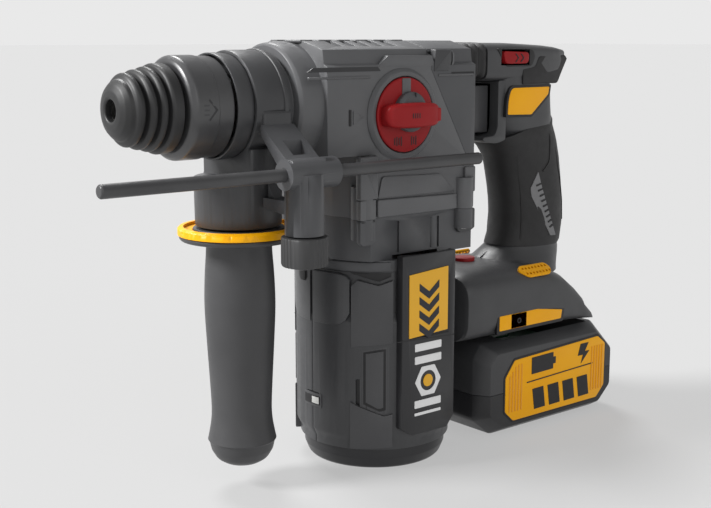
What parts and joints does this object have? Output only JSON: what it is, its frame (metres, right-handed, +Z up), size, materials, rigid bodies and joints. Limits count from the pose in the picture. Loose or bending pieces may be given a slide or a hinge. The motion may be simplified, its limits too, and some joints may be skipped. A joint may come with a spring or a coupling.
{
  "type": "rotary hammer",
  "caption": "Cordless rotary hammer with an upright motor, a sprung D-shaped rear handle, a swivelling side handle with a depth stop, a mode dial and a slide-off battery.",
  "frame": {"origin": "mouth of the tool bore, on the spindle axis", "axes": "+X along the spindle out of the chuck, +Y to the tool's left, +Z up towards the top of the gear case"},
  "size_m": [0.3658, 0.1074, 0.2295],
  "materials": {
    "housing_grey": "satin moulded, glass filled",
    "mid_grey": "satin moulded",
    "dark_plastic": "satin moulded",
    "panel_black": "fine textured",
    "black_rubber": "soft, fine textured",
    "yellow_plastic": "smooth moulded",
    "red_plastic": "smooth moulded",
    "light_plastic": "satin",
    "bright_steel": "ground",
    "gear_steel": "hardened and oiled",
    "black_steel": "glass-filled moulded rod",
    "copper": "enamelled winding wire",
    "board": "lacquered board and potting",
    "cell_wrap": "shrink sleeve"
  },
  "bodies": {
    "tool": {"gear_housing": "housing_grey", "rear_cover": "mid_grey", "mid_housing": "mid_grey", "motor_shell_left": "dark_plastic", "motor_shell_right": "dark_plastic", "motor_cap": "panel_black", "side_panel_left": "panel_black", "side_panel_right": "panel_black", "housing_screws": "bright_steel", "nose_ring": "dark_plastic", "selector_ring": "panel_black", "bellows": "black_rubber", "stator": "copper", "motor_bearings": "bright_steel", "drive_bearings": "bright_steel"},
    "spindle": {"tool_holder": "gear_steel", "dust_cap": "black_rubber", "lock_balls": "bright_steel", "sleeve_spring": "bright_steel", "spindle_gear": "gear_steel"},
    "sleeve": {"lock_sleeve": "dark_plastic"},
    "side_handle": {"handle_clamp": "dark_plastic", "depth_bracket": "mid_grey", "handle_bolt": "bright_steel"},
    "side_grip": {"side_grip": "black_rubber", "guard_ring": "yellow_plastic"},
    "depth_rod": {"depth_rod": "black_steel"},
    "clamp_knob": {"clamp_knob": "black_rubber"},
    "selector": {"selector_knob": "red_plastic"},
    "selector_button": {"selector_button": "light_plastic"},
    "rear_handle": {"handle_left": "dark_plastic", "handle_right": "dark_plastic", "grip_rubber": "black_rubber", "handle_accents": "yellow_plastic", "grip_inlay": "light_plastic", "trigger_switch": "panel_black", "controller": "board", "terminal_block": "panel_black", "pivot_pin": "bright_steel", "damping_spring": "bright_steel", "handle_screws": "bright_steel"},
    "trigger": {"trigger": "mid_grey"},
    "direction_slider": {"direction_slider": "red_plastic"},
    "gauge_button": {"gauge_button": "red_plastic"},
    "battery": {"battery_case_upper": "dark_plastic", "battery_case_lower": "panel_black", "battery_labels": "yellow_plastic", "battery_cells": "cell_wrap", "cell_board": "board"},
    "release_button": {"release_button": "red_plastic"},
    "rotor": {"rotor": "gear_steel", "fan": "panel_black"},
    "intermediate": {"intermediate_shaft": "gear_steel", "face_gear": "gear_steel", "wobble_hub": "gear_steel"},
    "wobble": {"wobble_ring": "gear_steel"},
    "piston": {"piston": "bright_steel"},
    "piston_pin": {"piston_pin": "gear_steel"},
    "striker": {"striker": "gear_steel"},
    "beat_piece": {"beat_piece": "gear_steel"}
  },
  "joints": [
    {"name": "spindle_spin", "type": "hinge", "parent": "tool", "child": "spindle", "pos_m": [0, 0, 0], "axis": [1, 0, 0], "continuous": true},
    {"name": "sleeve_slide", "type": "slide", "parent": "spindle", "child": "sleeve", "axis": [1, 0, 0], "range_m": [-0.007, 0], "stiffness_N_per_m": 900, "springref_m": 0.003, "deforming": ["sleeve_spring"]},
    {"name": "side_handle_swivel", "type": "hinge", "parent": "tool", "child": "side_handle", "pos_m": [-0.0745, 0, 0], "axis": [1, 0, 0], "range_deg": [-10, 200]},
    {"name": "grip_twist", "type": "hinge", "parent": "side_handle", "child": "side_grip", "pos_m": [-0.071, 0, -0.12], "axis": [0, 0, 1], "continuous": true},
    {"name": "depth_rod_slide", "type": "slide", "parent": "side_handle", "child": "depth_rod", "axis": [1, 0, 0], "range_m": [-0.09, 0.09]},
    {"name": "clamp_knob_turn", "type": "hinge", "parent": "side_handle", "child": "clamp_knob", "pos_m": [-0.075, 0.05, -0.068], "axis": [0, 0, 1], "range_deg": [0, 360]},
    {"name": "selector_turn", "type": "hinge", "parent": "tool", "child": "selector", "pos_m": [-0.1515, 0.036, -0.0061], "axis": [0, 1, 0], "range_deg": [-90, 90]},
    {"name": "selector_button_press", "type": "slide", "parent": "selector", "child": "selector_button", "axis": [0, 1, 0], "range_m": [-0.0015, 0], "stiffness_N_per_m": 600, "springref_m": 0.001},
    {"name": "handle_flex", "type": "hinge", "parent": "tool", "child": "rear_handle", "pos_m": [-0.214, 0, -0.122], "axis": [0, 1, 0], "range_deg": [-0.3, 1], "stiffness_Nm_per_rad": 300, "deforming": ["bellows", "damping_spring"]},
    {"name": "trigger_pull", "type": "slide", "parent": "rear_handle", "child": "trigger", "axis": [1, 0, 0], "range_m": [-0.006, 0], "stiffness_N_per_m": 700, "springref_m": 0.004},
    {"name": "direction_shift", "type": "slide", "parent": "rear_handle", "child": "direction_slider", "axis": [1, 0, 0], "range_m": [-0.0025, 0.0025]},
    {"name": "gauge_press", "type": "slide", "parent": "rear_handle", "child": "gauge_button", "axis": [0, 0, 1], "range_m": [-0.0012, 0], "stiffness_N_per_m": 800, "springref_m": 0.001},
    {"name": "battery_slide", "type": "slide", "parent": "rear_handle", "child": "battery", "axis": [1, 0, 0], "range_m": [-0.095, 0]},
    {"name": "release_press", "type": "slide", "parent": "battery", "child": "release_button", "axis": [1, 0, 0], "range_m": [0, 0.003], "stiffness_N_per_m": 1200, "springref_m": -0.001},
    {"name": "rotor_spin", "type": "hinge", "parent": "tool", "child": "rotor", "pos_m": [-0.162, 0, -0.13], "axis": [0, 0, 1], "continuous": true},
    {"name": "intermediate_spin", "type": "hinge", "parent": "tool", "child": "intermediate", "pos_m": [-0.15, 0, -0.0325], "axis": [1, 0, 0], "continuous": true},
    {"name": "wobble_tilt", "type": "hinge", "parent": "tool", "child": "wobble", "pos_m": [-0.152, 0, -0.0325], "axis": [0, 1, 0], "range_deg": [-14, 14]},
    {"name": "piston_slide", "type": "slide", "parent": "tool", "child": "piston", "axis": [1, 0, 0], "range_m": [-0.0079, 0.0079]},
    {"name": "piston_pin_turn", "type": "hinge", "parent": "piston", "child": "piston_pin", "pos_m": [-0.152, 0, 0], "axis": [0, 1, 0], "range_deg": [-15, 15]},
    {"name": "striker_slide", "type": "slide", "parent": "tool", "child": "striker", "axis": [1, 0, 0], "range_m": [-0.004, 0.006]},
    {"name": "beat_piece_slide", "type": "slide", "parent": "spindle", "child": "beat_piece", "axis": [1, 0, 0], "range_m": [0, 0.008]}
  ],
  "couplings": [
    {"joint": "intermediate_spin", "follows": "spindle_spin", "ratio": -3.3333},
    {"joint": "rotor_spin", "follows": "spindle_spin", "ratio": 12.857},
    {"joint": "wobble_tilt", "follows": "piston_slide", "rad_per_m": 30.769},
    {"joint": "piston_pin_turn", "follows": "piston_slide", "rad_per_m": 30.769}
  ]
}
